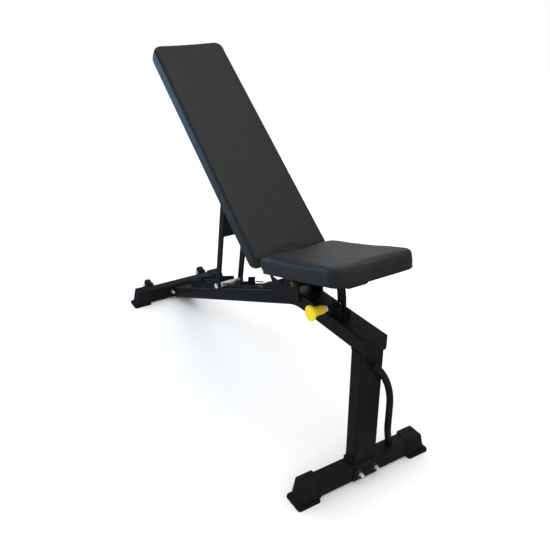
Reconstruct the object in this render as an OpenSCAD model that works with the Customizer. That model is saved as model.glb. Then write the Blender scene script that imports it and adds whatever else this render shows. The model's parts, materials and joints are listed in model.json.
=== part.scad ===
// Adjustable weight bench: a sloping spine on two cross feet, a hinged backrest held
// by a strut in a toothed ladder, and a hinged seat locked by a pull pin.
// Millimetres. +X runs from the wheels to the seat end, +Z is up, the floor is z = 0.

/* [Feet] */
// Distance from the middle of the bench to the front cap's outer face
front_cap_x = 610; // [590:1:630]
// Distance from the middle of the bench to the rear cap's outer face
rear_cap_x = 582; // [560:1:600]
// Length of the front foot over its caps, without the soles
front_foot_w = 364; // [340:2:400]
// Length of the rear foot over its caps, without the soles
rear_foot_w = 350; // [330:2:390]
// Height of a foot tube's top above the floor
foot_top = 55; // [52:1:56]
// Width of a foot tube, front to back
foot_depth = 40; // [38:1:42]
// Length of a rubber cap along its tube
cap_len = 48; // [42:1:52]
// Wall of a rubber cap
cap_wall = 2.5; // [2:0.5:3]
// Reach of the cap's sole past its end wall
sole_reach = 20; // [12:1:24]

/* [Spine] */
// Width of the spine and post tube
tube_w = 66; // [62:1:67]
// Height of the spine and post tube
tube_h = 41; // [38:1:42]
// Tube wall
tube_t = 2; // [1.5:0.5:3]
// Corner radius of the tubes
tube_r = 6; // [4:1:8]
// Height of the spine's level top
spine_top = 414.5; // [405:0.5:425]
// Slope of the rear length of the spine
spine_slope = 23.36; // [22.9:0.01:23.8]
// Where the two lengths of the spine's top line meet
spine_knee_x = 319.4; // [315:0.1:325]
// Radius of the spine's bend at mid tube
bend_r = 180; // [150:5:200]

/* [Backrest] */
// Angle of the backrest pad from level
back_angle = 37.68; // [36:0.01:39]
// Lower end of the backrest's face, along X
back_face_x = 269.5; // [268:0.5:271]
// Lower end of the backrest's face, height
back_face_z = 489.5; // [489:0.1:491]
// Length of the backrest pad
back_len = 760; // [740:2:770]
// Width of both pads
pad_w = 226; // [210:2:240]
// Thickness of the backrest's cushion
back_pad_t = 35; // [32:1:36]
// Plan radius of the backrest's upper corners
back_top_r = 28; // [20:1:40]
// Plan radius of the backrest's lower corners
back_low_r = 22; // [18:1:30]
// Backrest hinge, along X
back_pivot_x = 195; // [194:0.5:196]
// Backrest hinge, height
back_pivot_z = 450; // [449:0.5:451]

/* [Strut] */
// Rod centre along X, in its notch
rod_x = -117; // [-118:0.5:-116]
// Rod centre height, in its notch
rod_z = 237.5; // [237:0.1:238]
// Rod diameter
rod_d = 16; // [15:0.5:16]
// Rod length
rod_len = 100; // [98:1:104]
// Strut hinge along X
strut_pivot_x = -29.6; // [-30:0.1:-29]
// Strut hinge height
strut_pivot_z = 638.5; // [638:0.1:639]
// Width of a strut bar
bar_w = 25; // [22:1:26]
// Thickness of a strut bar
bar_t = 6; // [5:0.5:6]

/* [Seat] */
// Angle of the seat from level
seat_angle = 16.52; // [16:0.01:17]
// Seat hinge along X
seat_pivot_x = 333; // [332:0.5:334]
// Seat hinge height
seat_pivot_z = 439.3; // [439:0.1:440]
// Height of the seat's top face above its hinge line
seat_top = 81.5; // [80:0.5:83]
// Seat pad from the hinge line to its rear end
seat_rear = 34; // [30:1:36]
// Seat pad from the hinge line to its front end
seat_front = 308.5; // [300:0.5:315]
// Thickness of the seat cushion
seat_pad_t = 30; // [28:1:32]
// Thickness of the boards under both pads
board_t = 12; // [10:1:12]
// Plan radius of the seat's front corners
seat_front_r = 42; // [30:1:50]
// Plan radius of the seat's rear corners
seat_rear_r = 12; // [10:1:20]
// Step between the seat's three lock positions
seat_step = 8.25; // [8:0.05:8.3]

/* [Pull pin] */
// Pull pin axis along X
pin_x = 482; // [481:0.5:483]
// Pull pin axis height
pin_z = 441; // [440.5:0.1:441.5]
// Pull pin diameter
pin_d = 8; // [7:0.5:8]
// Knob diameter
knob_d = 38; // [34:1:42]

/* [Wheels] */
// Wheel diameter
wheel_d = 43; // [40:1:46]
// Wheel width
wheel_w = 20; // [18:1:22]
// Distance of each wheel from the middle of the bench
wheel_y = 111.5; // [108:0.5:112]
// Wheel axle height
wheel_z = 45; // [44:1:48]

/* [Handle] */
// Handle bar diameter
handle_d = 17; // [15:1:18]

/* [Hidden] */
$fn = 64;
eps = 0.05;

// Sole and lip of a cap
sole_t = 8;
lip_t = 4;
cap_rise = 2;
cap_flare = 11;

// Places that follow from the sizes above
front_bar_x = front_cap_x - cap_wall - foot_depth/2;
rear_bar_x = -rear_cap_x + cap_wall + foot_depth/2;
foot_h = foot_top - 3;
half_w = tube_w/2;
knee_z = spine_top - tube_h/2;
knee_x = spine_knee_x + tube_h/2*tan(spine_slope/2);
knee_len = bend_r*tan(spine_slope/2);
spine_front = 609;
plate_t = 4;
end_plate_x = rear_bar_x + foot_depth/2;
post_x = 585;
saddle_t = 3;
saddle_w = 74;

// Ladder origin: the spine's top, square below the rod
rod_h = (rod_z - ladder_line(rod_x))*cos(spine_slope);
ladder_x = rod_x + rod_h*sin(spine_slope);
ladder_z = rod_z - rod_h*cos(spine_slope);

// Strut length and lean
strut_len = norm([strut_pivot_x - rod_x, strut_pivot_z - rod_z]);
strut_lean = atan2(strut_pivot_x - rod_x, strut_pivot_z - rod_z);
bar_y = 37;

// Backrest hinge and strut hinge in the backrest's own frame
back_hinge = back_local(back_pivot_x, back_pivot_z);
strut_hinge = back_local(strut_pivot_x, strut_pivot_z);
back_plate_n = back_pad_t + board_t;
board_inset = 6;
board_w = pad_w - 2*board_inset;
rail_w = 50;
rail_h = 30;
rail_n = back_plate_n + 2;
rail_len = 652;
back_plates = [-122, -352, -582];

// Seat stack, measured from the hinge line
seat_board_z = seat_top - seat_pad_t - board_t;
seat_plate_t = 3;
seat_rail_w = 58;
seat_rail_h = 26.5;
seat_rail_z = seat_board_z - seat_plate_t - seat_rail_h;
seat_rail_front = 215;
seat_rail_rear = 28;

// Seat leg: a strip curved about the seat hinge
pin_reach = pin_x - seat_pivot_x;
leg_in = pin_reach - 14;
leg_out = pin_reach + 13;
leg_t = 7;
leg_low = -21;
pin_rise = atan2(pin_z - seat_pivot_z, pin_reach) - seat_angle;

// Hinge hardware
sleeve_d = 22;
bush_d = 16;
hinge_bolt_d = 12;
bush_flange_t = 1;
sleeve_half = half_w - bush_flange_t - 0.15;
ear_t = 5;
frame_bolt_d = 9;
frame_bolt_y = 24;
rear_bolt_y = 43;
bolt_z = 33;
stud_tip = 630;
washer_t = 1.6;
nut_h = 8;
nut_af = 14;
axle_d = 8;
axle_x = -630 + wheel_d/2;
bracket_t = 3;
wheel_gap = 0.6;

// Pull pin lengths, from the leg outwards
pin_tip = -(leg_t/2 + 0.6);
guide_half = 14;
guide_t = 3;
guide_top = 446.5;
barrel_d = 14;
barrel_end = -45;
chamber_d = 11.4;
chamber_front = -16;
collar_d = 15.5;
shoulder_y = -28;
knob_face = -94;
disc_t = 10;
stem_end = -54;

// ---------------------------------------------------------------- frames and shapes

// Height of the spine's sloping top line at x
function ladder_line(x) = spine_top + (x - spine_knee_x)*tan(spine_slope);

// A point of the middle plane in the backrest's frame: [along, out]
function back_local(x, z) = let (dx = x - back_face_x, dz = z - back_face_z)
    [dx*cos(back_angle) - dz*sin(back_angle), dx*sin(back_angle) + dz*cos(back_angle)];

// Backrest frame: origin at the face's lower end, -X up the pad, +Z out of the face
module on_backrest()
    translate([back_face_x, 0, back_face_z])
        rotate([0, back_angle, 0])
            children();

// Seat frame: origin on the seat hinge, +X towards the front end, +Z out of the pad
module on_seat()
    translate([seat_pivot_x, 0, seat_pivot_z])
        rotate([0, -seat_angle, 0])
            children();

// Ladder frame: origin under the rod, +X up the spine, +Z square to it
module on_ladder()
    translate([ladder_x, 0, ladder_z])
        rotate([0, -spine_slope, 0])
            children();

// Strut frame: origin on the strut hinge, -Z down the bars
module on_strut()
    translate([strut_pivot_x, 0, strut_pivot_z])
        rotate([0, strut_lean, 0])
            children();

// Faces of a swept bar: rings of points joined in turn, closed at both ends
function swept_faces(count, ring) = concat(
    [for (i = [0:count - 1], j = [0:ring - 1])
        let (k = (j + 1)%ring)
        [i*ring + j, (i + 1)*ring + j, (i + 1)*ring + k, i*ring + k]],
    [[for (j = [0:ring - 1]) j], [for (j = [ring - 1:-1:0]) count*ring + j]]
);

// Copies on both sides of the middle plane
module both_sides() {
    children();
    mirror([0, 1, 0])
        children();
}

// Rectangle with true round corners
module round_rect(w, h, r) {
    square([w - 2*r, h], center = true);
    square([w, h - 2*r], center = true);
    for (x = [-1, 1], y = [-1, 1])
        translate([x*(w/2 - r), y*(h/2 - r)])
            circle(r);
}

// Section of a rectangular tube
module tube_section(w, h, r, t)
    difference() {
        round_rect(w, h, r);
        round_rect(w - 2*t, h - 2*t, r - t);
    }

// Slab of a rounded rectangle between two heights
module slab(w, h, r, z0, z1)
    translate([0, 0, z0])
        linear_extrude(z1 - z0)
            round_rect(w, h, r);

// Round bar along Y between two places
module bar_y(d, y0, y1)
    translate([0, y0, 0])
        rotate([-90, 0, 0])
            cylinder(h = y1 - y0, d = d);

// Hexagon along Y between two places, with its corners eased
module hex_y(af, y0, y1)
    intersection() {
        translate([0, y0, 0])
            rotate([-90, 0, 0])
                cylinder(h = y1 - y0, d = af/cos(30), $fn = 6);
        bar_y(af*1.1, y0, y1);
    }

// The same along X
module bar_x(d, x0, x1)
    translate([x0, 0, 0])
        rotate([0, 90, 0])
            cylinder(h = x1 - x0, d = d);

module hex_x(af, x0, x1)
    intersection() {
        translate([x0, 0, 0])
            rotate([0, 90, 0])
                cylinder(h = x1 - x0, d = af/cos(30), $fn = 6);
        bar_x(af*1.1, x0, x1);
    }

// Upright slab in the XZ plane, from y0 outwards by t
module side_plate(y0, t)
    translate([0, y0 + t, 0])
        rotate([90, 0, 0])
            linear_extrude(t)
                children();

// ---------------------------------------------------------------- feet

module foot_tube(x, length, hole_y)
    difference() {
        translate([x, length/2, foot_top - foot_h/2])
            rotate([90, 0, 0])
                linear_extrude(length)
                    tube_section(foot_depth, foot_h, tube_r, tube_t);
        for (s = [-1, 1])
            translate([0, s*hole_y, bolt_z])
                bar_x(frame_bolt_d + 0.2, x - foot_depth, x + foot_depth);
    }

module front_crossbar()
    color("#1b1c1e")
        foot_tube(front_bar_x, front_foot_w - 2*cap_wall, frame_bolt_y);

module rear_crossbar()
    color("#1b1c1e")
        foot_tube(rear_bar_x, rear_foot_w - 2*cap_wall, rear_bolt_y);

// One rubber cap: a socket that widens down to a sole with a double lip
module foot_cap(x, half_len) {
    cap_w = foot_depth + 2*cap_wall;
    inner = half_len - cap_len;
    difference() {
        union() {
            hull() {
                translate([x, inner + cap_len/2, foot_top + cap_rise - 1])
                    linear_extrude(1)
                        round_rect(cap_w, cap_len, 4);
                translate([x, inner + (cap_len + cap_flare)/2, sole_t])
                    linear_extrude(1)
                        round_rect(cap_w + 4, cap_len + cap_flare, 5);
            }
            translate([x, inner + (cap_len + sole_reach)/2 + 3, 0]) {
                slab(cap_w + 14, cap_len + sole_reach - 6, 6, lip_t, sole_t + eps);
                slab(cap_w + 16, cap_len + sole_reach - 4, 7, 0, lip_t);
            }
        }
        translate([x, half_len - cap_wall - 2*cap_len, foot_top - foot_h/2])
            rotate([-90, 0, 0])
                linear_extrude(2*cap_len)
                    round_rect(foot_depth, foot_h, tube_r);
    }
}

module front_foot_caps()
    color("#222325")
        both_sides()
            foot_cap(front_bar_x, front_foot_w/2);

module rear_foot_caps()
    color("#222325")
        both_sides()
            foot_cap(rear_bar_x, rear_foot_w/2);

// ---------------------------------------------------------------- spine and post

// Straight length of spine tube along +X from the origin
module spine_length(length)
    rotate([90, 0, 90])
        linear_extrude(length)
            tube_section(tube_w, tube_h, tube_r, tube_t);

module main_beam() {
    bend_x = knee_x + knee_len;
    rear_x = knee_x - knee_len*cos(spine_slope);
    rear_z = knee_z - knee_len*sin(spine_slope);
    rear_len = 920;
    slot_x0 = seat_pivot_x + leg_in - 6;
    slot_len = leg_out - leg_in + 9;
    color("#1b1c1e")
        difference() {
            union() {
                translate([bend_x, 0, knee_z])
                    spine_length(spine_front - bend_x);
                translate([bend_x, 0, knee_z - bend_r])
                    rotate([90, 0, 0])
                        rotate_extrude(angle = spine_slope, start = 90, $fn = 180)
                            translate([bend_r, 0])
                                rotate(90)
                                    tube_section(tube_w, tube_h, tube_r, tube_t);
                translate([rear_x, 0, rear_z])
                    rotate([0, 180 - spine_slope, 0])
                        spine_length(rear_len);
            }
            translate([-1000, -50, -300])
                cube([1000 + end_plate_x + plate_t, 100, 600]);
            translate([-1000, -50, -300])
                cube([1000, 100, 303]);
            translate([slot_x0, -leg_t/2 - 1, spine_top - 5])
                cube([slot_len, leg_t + 2, 10]);
        }
}

module beam_end_plug()
    color("#141516")
        translate([spine_front, 0, knee_z])
            rotate([90, 0, 90]) {
                linear_extrude(2)
                    round_rect(tube_w, tube_h, tube_r);
                translate([0, 0, -18])
                    linear_extrude(18)
                        round_rect(tube_w - 2*tube_t - 2*eps, tube_h - 2*tube_t - 2*eps, 4);
            }

module beam_end_plate()
    color("#1b1c1e")
        difference() {
            translate([end_plate_x, 0, 29])
                rotate([90, 0, 90])
                    linear_extrude(plate_t)
                        round_rect(116, 44, 8);
            for (s = [-1, 1])
                translate([0, s*rear_bolt_y, bolt_z])
                    bar_x(frame_bolt_d + 0.2, end_plate_x - 1, end_plate_x + 9);
        }

module front_post()
    color("#1b1c1e")
        translate([post_x, 0, foot_top + saddle_t])
            linear_extrude(spine_top - tube_h - foot_top - saddle_t)
                tube_section(tube_h, tube_w, tube_r, tube_t);

// Channel that sits over the front foot tube and takes its two bolts
module front_saddle()
    color("#1b1c1e")
        difference() {
            translate([front_bar_x - foot_depth/2 - saddle_t, -saddle_w/2, 6])
                cube([foot_depth + 2*saddle_t, saddle_w, foot_top + saddle_t - 6]);
            translate([front_bar_x, 0, foot_top - foot_h/2])
                rotate([90, 0, 0])
                    linear_extrude(saddle_w + 2, center = true)
                        round_rect(foot_depth, foot_h, tube_r);
            translate([front_bar_x - foot_depth/2, -saddle_w/2 - 1, 0])
                cube([foot_depth, saddle_w + 2, 20]);
            for (s = [-1, 1])
                translate([0, s*frame_bolt_y, bolt_z])
                    bar_x(frame_bolt_d + 0.2, 500, 620);
        }

// Bent round bar from the post's face out to the side, then down and back to the foot
module lift_handle() {
    side_y = 56;
    arc_r = 190;
    arc_angle = 48;
    arc_z = 205;
    kick = 29;
    kick_turn = 40;
    kick_r = 60;
    kick_z = 152;
    ring = 32;
    out = [-sin(kick_turn), cos(kick_turn), 0];
    up = [0, 0, 1];
    // Each step of the bar's centre line: [place, direction]
    steps = concat(
        [for (a = [arc_angle:-3:0])
            [[0, arc_r*(cos(a) - 1), arc_z + arc_r*sin(a)], [0, sin(a), -cos(a)]]],
        [for (b = [0:3:kick])
            [out*kick_r*(1 - cos(b)) + up*(kick_z - kick_r*sin(b)),
             out*sin(b) - up*cos(b)]],
        [[out*(kick_r*(1 - cos(kick)) + (kick_z - kick_r*sin(kick) - foot_top)*tan(kick))
            + up*foot_top, out*sin(kick) - up*cos(kick)]]
    );
    count = len(steps) - 1;
    // The last ring is stretched so that it lies flat on the foot
    points = [for (i = [0:count], j = [0:ring - 1])
        let (t = steps[i][1], side = cross(t, [1, 0, 0])/norm(cross(t, [1, 0, 0])),
             spoke = handle_d/2*(cos(360*j/ring)*side + sin(360*j/ring)*cross(t, side)))
        steps[i][0] + spoke - (i == count ? t*spoke[2]/t[2] : [0, 0, 0])];
    color("#1b1c1e")
        translate([post_x + tube_h/2 + handle_d/2, side_y, 0])
            polyhedron(points, swept_faces(count, ring));
}

// ---------------------------------------------------------------- ladder and uprights

// Side view of a ladder plate: a tall tooth behind each notch, low ground in front of it
module ladder_side() {
    floor_h = 2.45;
    tooth_h = 28;
    hook_h = 23;
    wall_h = 5;
    seat_gap = rod_d/2 + 0.6;
    top_seat = 262;
    polygon([
        [-292, 0], [-290, tooth_h - 3], [-287, tooth_h], [-186, tooth_h], [-182, floor_h],
        [-150.5, floor_h], [-152, tooth_h], [-11, tooth_h], [-7.5, hook_h], [-seat_gap, 16],
        [-seat_gap, floor_h], [seat_gap, floor_h], [seat_gap, wall_h], [60, 9], [96, 9],
        [101, 16], [104, hook_h], [149, hook_h], [142, 14], [140.5, floor_h],
        [195, floor_h], [240, 9], [top_seat - seat_gap, wall_h],
        [top_seat - seat_gap, floor_h], [283, floor_h], [288, 13], [344, 20], [350, 0],
    ]);
}

module ladder_plates()
    color("#1b1c1e")
        on_ladder()
            both_sides()
                side_plate(21, 4)
                    ladder_side();

// Side view of an upright plate, with an ear for each hinge
module upright_side() {
    seat_ear = 17;
    back_ear = 19;
    difference() {
        union() {
            translate([seat_pivot_x, seat_pivot_z])
                circle(seat_ear);
            translate([back_pivot_x, back_pivot_z])
                circle(back_ear);
            polygon([
                [222, 356], [219, 400], [205, 419], [back_pivot_x - 12, 435],
                [back_pivot_x, back_pivot_z], [back_pivot_x + 16, 440], [219, 411],
                [280, 411], [280, 429], [seat_pivot_x - 14, 449], [seat_pivot_x, seat_pivot_z],
                [seat_pivot_x + 16.5, 435], [354, 396], [310, 386],
            ]);
        }
        translate([seat_pivot_x, seat_pivot_z])
            circle(d = hinge_bolt_d + 0.1);
        translate([back_pivot_x, back_pivot_z])
            circle(d = hinge_bolt_d + 0.1);
    }
}

module upright_plates()
    color("#1b1c1e")
        both_sides()
            side_plate(half_w, ear_t)
                upright_side();

// Open box on the spine that keeps the seat leg upright: the near wall is tall and
// carries the pin barrel, the other walls are low
module leg_guide() {
    length = 37;
    x0 = 462;
    low_top = 428;
    color("#1b1c1e")
        difference() {
            union() {
                translate([x0, -guide_half, spine_top])
                    cube([length, 2*guide_half, low_top - spine_top]);
                translate([x0, -guide_half, spine_top])
                    cube([length, guide_t, guide_top - spine_top]);
            }
            translate([x0 - 1, -guide_half + guide_t, spine_top - 1])
                cube([length + 1 - guide_t, 2*(guide_half - guide_t), 60]);
            translate([pin_x, 0, pin_z])
                bar_y(barrel_d + 2*eps, -guide_half - 1, 0);
        }
}

// ---------------------------------------------------------------- frame fasteners

module frame_bolt(head_x, tip_x) {
    head_h = 6.4;
    bar_x(frame_bolt_d, head_x, tip_x - 1);
    translate([tip_x - 1, 0, 0])
        rotate([0, 90, 0])
            cylinder(h = 1, d1 = frame_bolt_d, d2 = frame_bolt_d - 2);
    hex_x(nut_af, head_x - head_h, head_x);
}

module frame_nut(x0)
    difference() {
        hex_x(nut_af, x0, x0 + nut_h);
        bar_x(frame_bolt_d + 0.1, x0 - 1, x0 + nut_h + 1);
    }

module front_frame_bolts()
    color("#c9ccd0")
        both_sides()
            translate([0, frame_bolt_y, bolt_z])
                frame_bolt(front_bar_x - foot_depth/2 - saddle_t, stud_tip);

module front_frame_nuts()
    color("#c9ccd0")
        both_sides()
            translate([0, frame_bolt_y, bolt_z])
                frame_nut(front_bar_x + foot_depth/2 + saddle_t + washer_t);

module rear_frame_bolts()
    color("#c9ccd0")
        both_sides()
            translate([0, rear_bolt_y, bolt_z])
                frame_bolt(rear_bar_x - foot_depth/2, end_plate_x + 24);

module rear_frame_nuts()
    color("#c9ccd0")
        both_sides()
            translate([0, rear_bolt_y, bolt_z])
                frame_nut(end_plate_x + plate_t + washer_t);

module frame_washers() {
    washer_d = 17;
    color("#c9ccd0")
        both_sides()
            for (p = [[front_bar_x + foot_depth/2 + saddle_t, frame_bolt_y],
                      [end_plate_x + plate_t, rear_bolt_y]])
                translate([0, p[1], bolt_z])
                    difference() {
                        bar_x(washer_d, p[0], p[0] + washer_t);
                        bar_x(frame_bolt_d + 0.2, p[0] - 1, p[0] + washer_t + 1);
                    }
}

// ---------------------------------------------------------------- wheels

// Both copies are alike, so the bolt heads face the same way
module at_wheels()
    for (s = [-1, 1])
        translate([0, s*wheel_y, 0])
            children();

module wheel_brackets() {
    back_x = rear_bar_x - foot_depth/2;
    ear_y = wheel_w/2 + wheel_gap;
    half = ear_y + bracket_t;
    color("#1b1c1e")
        at_wheels()
            difference() {
                union() {
                    translate([back_x - bracket_t, -half, 27])
                        cube([bracket_t, 2*half, 23]);
                    for (y0 = [-half, ear_y])
                        side_plate(y0, bracket_t) {
                            translate([axle_x, wheel_z])
                                circle(10);
                            polygon([
                                [back_x - bracket_t/2, 27], [back_x - bracket_t/2, 50],
                                [axle_x + 3, wheel_z + 9.5], [axle_x, wheel_z],
                                [axle_x + 3, wheel_z - 9.5],
                            ]);
                        }
                }
                translate([axle_x, 0, wheel_z])
                    bar_y(axle_d + 0.1, -half - 1, half + 1);
            }
}

module wheel_axle_bolts() {
    half = wheel_w/2 + wheel_gap + bracket_t;
    color("#c9ccd0")
        at_wheels()
            translate([axle_x, 0, wheel_z]) {
                bar_y(axle_d, -half, half + 8);
                hex_y(13, -half - 5.5, -half);
            }
}

module wheel_axle_nuts() {
    half = wheel_w/2 + wheel_gap + bracket_t;
    color("#c9ccd0")
        at_wheels()
            translate([axle_x, 0, wheel_z])
                difference() {
                    hex_y(13, half, half + 6.5);
                    bar_y(axle_d + 0.1, half - 1, half + 8);
                }
}

// Solid wheel with a rounded tread, dished sides and an axle bore
module wheel(y)
    translate([axle_x, y, wheel_z])
        rotate([90, 0, 0])
            rotate_extrude($fn = 96)
                difference() {
                    union() {
                        translate([axle_d/2 + 0.1, -wheel_w/2])
                            square([wheel_d/2 - 4 - axle_d/2 - 0.1, wheel_w]);
                        translate([wheel_d/2 - 4.1, -wheel_w/2 + 4])
                            square([4.1, wheel_w - 8]);
                        for (s = [-1, 1])
                            translate([wheel_d/2 - 4, s*(wheel_w/2 - 4)])
                                circle(4);
                    }
                    for (s = [-1, 1])
                        translate([10, s*wheel_w/2 - 2])
                            square([6, 4]);
                }

module left_wheel()
    color("#2a2b2d")
        wheel(wheel_y);

module right_wheel()
    color("#2a2b2d")
        wheel(-wheel_y);

// ---------------------------------------------------------------- hinge hardware

// Bolt across both uprights, head on the -Y side
module hinge_bolt() {
    grip = half_w + ear_t;
    bar_y(hinge_bolt_d, -grip, grip + 12);
    bar_y(19, -grip - 1.6, -grip);
    hex_y(15, -grip - 7.5, -grip - 1.6 + eps);
}

module hinge_nut() {
    grip = half_w + ear_t;
    difference() {
        union() {
            hex_y(17, grip, grip + 7);
            bar_y(14.5, grip + 7 - eps, grip + 9.5);
        }
        bar_y(hinge_bolt_d + 0.1, grip - 1, grip + 14);
    }
}

// Flanged bush in each end of a hinge sleeve
module hinge_bushes()
    both_sides()
        difference() {
            union() {
                bar_y(bush_d, 10, sleeve_half + 0.1);
                bar_y(sleeve_d, sleeve_half + eps, half_w - eps);
            }
            bar_y(hinge_bolt_d + 0.1, 0, half_w + 1);
        }

module hinge_sleeve()
    difference() {
        bar_y(sleeve_d, -sleeve_half, sleeve_half);
        bar_y(bush_d + 0.1, -half_w, half_w);
    }

module at_seat_pivot()
    translate([seat_pivot_x, 0, seat_pivot_z])
        children();

module at_back_pivot()
    translate([back_pivot_x, 0, back_pivot_z])
        children();

module seat_pivot_bolt()
    color("#b59a4a")
        at_seat_pivot()
            hinge_bolt();

module seat_pivot_nut()
    color("#b59a4a")
        at_seat_pivot()
            hinge_nut();

module seat_pivot_bushes()
    color("#101112")
        at_seat_pivot()
            hinge_bushes();

module seat_hinge_sleeve()
    color("#1b1c1e")
        at_seat_pivot()
            hinge_sleeve();

module backrest_pivot_bolt()
    color("#b59a4a")
        at_back_pivot()
            hinge_bolt();

module backrest_pivot_nut()
    color("#b59a4a")
        at_back_pivot()
            hinge_nut();

module backrest_pivot_bushes()
    color("#101112")
        at_back_pivot()
            hinge_bushes();

module backrest_hinge_sleeve()
    color("#1b1c1e")
        at_back_pivot()
            hinge_sleeve();

// ---------------------------------------------------------------- seat

module seat_rail()
    color("#1b1c1e")
        on_seat()
            difference() {
                translate([-seat_rail_rear, 0, seat_rail_z + seat_rail_h/2])
                    rotate([90, 0, 90])
                        linear_extrude(seat_rail_front + seat_rail_rear)
                            tube_section(seat_rail_w, seat_rail_h, 4, tube_t);
                bar_y(sleeve_d + 2*eps, -half_w, half_w);
            }

// Plastic plug for a tube end that faces +X at the origin
module rail_plug(w, h, t) {
    rotate([90, 0, 90])
        linear_extrude(1.5)
            round_rect(w, h, 4);
    translate([-12, 0, 0])
        rotate([90, 0, 90])
            linear_extrude(12)
                round_rect(w - 2*t - 2*eps, h - 2*t - 2*eps, 2);
}

module seat_rail_plugs()
    color("#101112")
        on_seat()
            translate([0, 0, seat_rail_z + seat_rail_h/2]) {
                translate([seat_rail_front, 0, 0])
                    rail_plug(seat_rail_w, seat_rail_h, tube_t);
                intersection() {
                    translate([-seat_rail_rear, 0, 0])
                        mirror([1, 0, 0])
                            rail_plug(seat_rail_w, seat_rail_h, tube_t);
                    translate([-seat_rail_rear - 5, -50, -50])
                        cube([13, 100, 100]);
                }
            }

// Four screw places of the seat: [x, y]
function seat_screw_spots() = [for (x = [55, 185], y = [-70, 70]) [x, y]];

module seat_mount_plates()
    color("#1b1c1e")
        on_seat()
            difference() {
                for (x = [55, 185])
                    translate([x, 0, 0])
                        slab(38, 176, 6, seat_board_z - seat_plate_t, seat_board_z);
                for (p = seat_screw_spots())
                    translate([p[0], p[1], 0])
                        cylinder(h = 100, d = 6.4);
            }

// Plan outline of a pad whose +X end has the wider corners
module pad_outline(x0, x1, w, front_r, rear_r) {
    translate([x0 + rear_r, -w/2])
        square([x1 - front_r - x0 - rear_r, w]);
    translate([x0, -w/2 + rear_r])
        square([rear_r + 1, w - 2*rear_r]);
    translate([x1 - front_r - 1, -w/2 + front_r])
        square([front_r + 1, w - 2*front_r]);
    for (s = [-1, 1]) {
        translate([x0 + rear_r, s*(w/2 - rear_r)])
            circle(rear_r);
        translate([x1 - front_r, s*(w/2 - front_r)])
            circle(front_r);
    }
}

module seat_board()
    color("#2b2622")
        on_seat()
            difference() {
                translate([0, 0, seat_board_z])
                    linear_extrude(board_t - eps)
                        pad_outline(board_inset - seat_rear, seat_front - board_inset, board_w,
                                    seat_front_r - board_inset, seat_rear_r - board_inset);
                for (p = seat_screw_spots())
                    translate([p[0], p[1], 0])
                        cylinder(h = 100, d = 6.1);
            }

module seat_pad()
    color("#3b3d40")
        on_seat()
            translate([0, 0, seat_board_z + board_t])
                linear_extrude(seat_pad_t)
                    pad_outline(-seat_rear, seat_front, pad_w, seat_front_r, seat_rear_r);

// Round-headed screw with its head below z = 0
module pad_screw(length) {
    translate([0, 0, -0.02])
        cylinder(h = length, d = 6);
    translate([0, 0, -3])
        cylinder(h = 3, d1 = 8, d2 = 12);
}

module seat_screws()
    color("#c9ccd0")
        on_seat()
            for (p = seat_screw_spots())
                translate([p[0], p[1], seat_board_z - seat_plate_t])
                    pad_screw(seat_plate_t + board_t - 2);

module seat_leg()
    color("#1b1c1e")
        on_seat()
            side_plate(-leg_t/2, leg_t)
                difference() {
                    intersection() {
                        difference() {
                            circle(leg_out, $fn = 180);
                            circle(leg_in, $fn = 180);
                        }
                        polygon([
                            [0, 0], [200*cos(leg_low), 200*sin(leg_low)],
                            [200, seat_rail_z], [100, seat_rail_z],
                        ]);
                    }
                    for (k = [0:2])
                        rotate(pin_rise + k*seat_step)
                            translate([pin_reach, 0])
                                circle(d = pin_d + 0.6);
                }

// ---------------------------------------------------------------- pull pin

module at_pin()
    translate([pin_x, 0, pin_z])
        children();

module pin_barrel()
    color("#17181a")
        at_pin()
            difference() {
                bar_y(barrel_d, barrel_end, -guide_half + guide_t);
                bar_y(pin_d + 0.2, -60, 0);
                bar_y(chamber_d, -60, chamber_front);
            }

module pin_collar()
    color("#c9ccd0")
        at_pin()
            difference() {
                bar_y(collar_d, barrel_end - 6, barrel_end);
                bar_y(pin_d + 0.2, -60, 0);
            }

// Coil of round wire between the pin's shoulder and the collar
module pin_spring() {
    wire = 1;
    coil_r = 4.85;
    turns = 6;
    steps = 18;
    ring = 8;
    y0 = barrel_end + wire/2 + 0.1;
    y1 = shoulder_y - 2.4 - wire/2;
    count = turns*steps;
    points = [for (i = [0:count], j = [0:ring - 1])
        let (a = 360*i/steps, b = 360*j/ring, r = coil_r + wire/2*cos(b))
        [r*cos(a), y0 + (y1 - y0)*i/count + wire/2*sin(b), r*sin(a)]];
    color("#c9ccd0")
        at_pin()
            polyhedron(points, swept_faces(count, ring));
}

module pull_pin()
    color("#c9ccd0")
        at_pin() {
            bar_y(pin_d, knob_face + 12, pin_tip - 1);
            translate([0, pin_tip - 1, 0])
                rotate([-90, 0, 0])
                    cylinder(h = 1, d1 = pin_d, d2 = pin_d - 2);
            bar_y(chamber_d - 0.6, shoulder_y, shoulder_y + 2);
        }

// Mushroom knob with a hollow stem that passes over the collar
module pull_knob()
    color("#e9df4a")
        at_pin()
            rotate([-90, 0, 0])
                rotate_extrude($fn = 96)
                    difference() {
                        union() {
                            translate([0, knob_face + 4])
                                square([knob_d/2, disc_t - 8]);
                            translate([0, knob_face])
                                square([knob_d/2 - 4, disc_t]);
                            for (y = [knob_face + 4, knob_face + disc_t - 4])
                                translate([knob_d/2 - 4, y])
                                    circle(4);
                            polygon([
                                [0, knob_face + disc_t - 1],
                                [knob_d/2 - 5, knob_face + disc_t - 0.5],
                                [11.5, knob_face + disc_t + 7], [10.5, stem_end],
                                [0, stem_end],
                            ]);
                        }
                        translate([-1, knob_face + 11])
                            square([1 + pin_d/2 + eps, 60]);
                        translate([-1, stem_end - 10])
                            square([1 + collar_d/2 + 0.4, 20]);
                        translate([-60, knob_face - 10])
                            square([60, 100]);
                    }

// ---------------------------------------------------------------- backrest

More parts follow.
